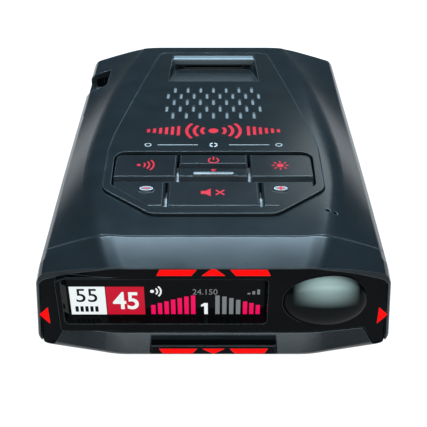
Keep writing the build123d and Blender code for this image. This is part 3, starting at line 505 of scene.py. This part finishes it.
# thin rule under the emblem, with a ring at each end and a broken ring in the middle
rule = bar(4.4, RULE_Y - 0.11, 15.8, RULE_Y + 0.11) + arc(18.5, RULE_Y, 0.85, 0.22, 0, 360, 28)
legend("panel_rule", "control_panel", both_sides(rule), "legend_grey")
cog = [face for k in range(4) for face in arc(0, RULE_Y, 1.0, 0.45, 90 * k + 12, 90 * k + 78, 5)]
legend("panel_rule_mark", "control_panel", cog, "legend_grey")

# ---------------------------------------------------------------- what the display shows, in mm
SHEET, SHEET_SINK = 0.03, 0.02      # thickness of a lit shape, and how far it goes into the glass
TILE_Z = (10.75, 19.9)
LEVEL_FOOT = 10.86


def shown(name, faces, material, layer=0):
    """Lit shape on the display glass: layer says how many sheets lie under it."""
    front = GLASS_Y - SHEET * (layer + 1)
    raise_shape(name, faces, lambda x, z: (x, front, z), lambda x, z: (x, GLASS_Y + SHEET_SINK, z),
                material, CASE)


def levels(x, pitch, width, tops):
    """Row of upright bars with those tops, the first at x."""
    return [face for i, top in enumerate(tops)
            for face in bar(x + pitch * i, LEVEL_FOOT, x + width + pitch * i, top)]


shown("tile_limit", bar(-36.0, TILE_Z[0], -27.05, TILE_Z[1]), "lit_white")
shown("tile_limit_digits", numerals("55", (-34.4, -29.1), (14.9, 19.2), 0.006), "ink_black", 1)
marks = [face for i in range(5) for face in bar(-34.9 + 1.25 * i, 11.7, -34.1 + 1.25 * i, 13.5)]
shown("tile_limit_unit", marks, "ink_black", 1)
shown("tile_speed", bar(-26.85, TILE_Z[0], -17.3, TILE_Z[1]), "lit_red")
shown("tile_speed_digits", numerals("45", (-25.3, -18.8), (12.5, 18.2), 0.018), "lit_white", 1)
shown("band_icon", disc(-15.3, 18.4, 0.5) + waves(-15.3, 18.4, (1.3, 2.2), 0.42, 45, 8), "lit_white")
shown("bars_left", levels(-15.75, 1.68, 1.1, (13.9, 14.55, 15.1, 15.7, 16.2, 16.7, 17.05)), "lit_pink")
flag = [[(-3.15, 13.35), (-2.35, 13.6), (-2.35, 14.55), (-3.15, 13.95)]]
shown("count_digit", bar(-2.35, LEVEL_FOOT, -1.45, 14.55) + flag, "lit_white")
shown("reading_digits", numerals("24.150", (-5.2, 1.0), (17.35, 19.1)), "lit_grey")
shown("bars_right", levels(0.45, 1.74, 1.1, (17.05, 16.7, 16.2, 15.6)), "lit_grey")
shown("bars_far", levels(7.42, 1.62, 1.08, (15.05, 14.55, 13.9)), "lit_pink")
rising = [face for i in range(3) for face in bar(8.5 + 1.2 * i, 17.4, 9.2 + 1.2 * i, 17.9 + 0.55 * i)]
shown("reading_unit", rising, "lit_grey")

# ---------------------------------------------------------------- floor, light and camera
FLOOR_HALF = 3.0
SHINE_FADE = (0.24, 0.42, 1.0, 0.35)    # distances from the middle, and the shine at each
COOL = (0.84, 0.96, 1.0)
BLUE = (0.66, 0.90, 1.08)
MIDDLE = (0, 0, 0.02)
LASER_DOME = (0.027, -0.068, 0.017)
LIGHTS = [
    # name, place, target, size, watts, colour
    # the first shows in the hood, and the third in the chin and the dome
    ("over_hood", (0.0, 0.225, 0.59), MIDDLE, (0.92, 0.13), 35.0, BLUE),
    ("over_deck", (0.20, 0.50, 0.36), MIDDLE, (0.24, 0.16), 0.5, COOL),
    ("front", (0.0, -0.62, 0.20), MIDDLE, (0.9, 0.20), 9.0, COOL),
    ("over_dome", (0.04, -0.42, 0.44), LASER_DOME, (0.36, 0.22), 3.0, COOL),
    ("left_side", (-0.55, 0.05, 0.30), MIDDLE, (0.3, 0.5), 0.03, COOL),
    ("right_side", (0.55, 0.05, 0.30), MIDDLE, (0.3, 0.5), 0.03, COOL),
]
PITCH = 35.0        # degrees below the horizon
SENSOR_MM, LENS_MM = 36.0, 69.049
EYE = (0.0, -0.219, 0.1513)


def floor():
    """White table that shines softly near the object, so that hardly any shadow shows on it."""
    mesh = bpy.data.meshes.new("floor")
    corners = [(sx * FLOOR_HALF, sy * FLOOR_HALF, 0) for sx, sy in ((-1, -1), (1, -1), (1, 1), (-1, 1))]
    mesh.from_pydata(corners, [], [(0, 1, 2, 3)])
    piece = bpy.data.objects.new("floor", mesh)
    SCENE.collection.objects.link(piece)
    white = finish("floor", (0.04, 0.04, 0.04), 0.8, specular=0.02, grain=3.0, depth=0.01, mottle=0.01,
                   patch=80.0)
    tree = white.node_tree
    shader = tree.nodes["Principled BSDF"]
    distance = tree.nodes.new("ShaderNodeVectorMath")
    distance.operation = "LENGTH"
    link(tree, object_coordinates(tree), distance.inputs[0])
    shine = map_range(tree, distance.outputs["Value"], *SHINE_FADE)
    link(tree, shine, shader.inputs["Emission Strength"])
    shader.inputs["Emission Color"].default_value = (1, 1, 1, 1)
    mesh.materials.append(white)


def soft_light(name, place, target, size, watts, color):
    data = bpy.data.lights.new(name, "AREA")
    data.shape, data.size, data.size_y = "RECTANGLE", size[0], size[1]
    data.energy, data.color = watts, color
    lamp = bpy.data.objects.new(name, data)
    lamp.location = place
    lamp.rotation_euler = (Vector(target) - Vector(place)).to_track_quat("-Z", "Y").to_euler()
    SCENE.collection.objects.link(lamp)


floor()
for light in LIGHTS:
    soft_light(*light)
world = bpy.data.worlds.new("studio")
world.use_nodes = True
background = world.node_tree.nodes["Background"]
background.inputs["Color"].default_value = (0.78, 0.94, 1.0, 1.0)
background.inputs["Strength"].default_value = 0.05
SCENE.world = world
SCENE.view_settings.view_transform = "Standard"

camera = bpy.data.cameras.new("camera")
camera.sensor_width, camera.lens = SENSOR_MM, LENS_MM
camera.clip_start = 0.01
viewer = bpy.data.objects.new("camera", camera)
viewer.location = EYE
viewer.rotation_euler = (math.radians(90 - PITCH), 0, 0)
SCENE.collection.objects.link(viewer)
SCENE.camera = viewer
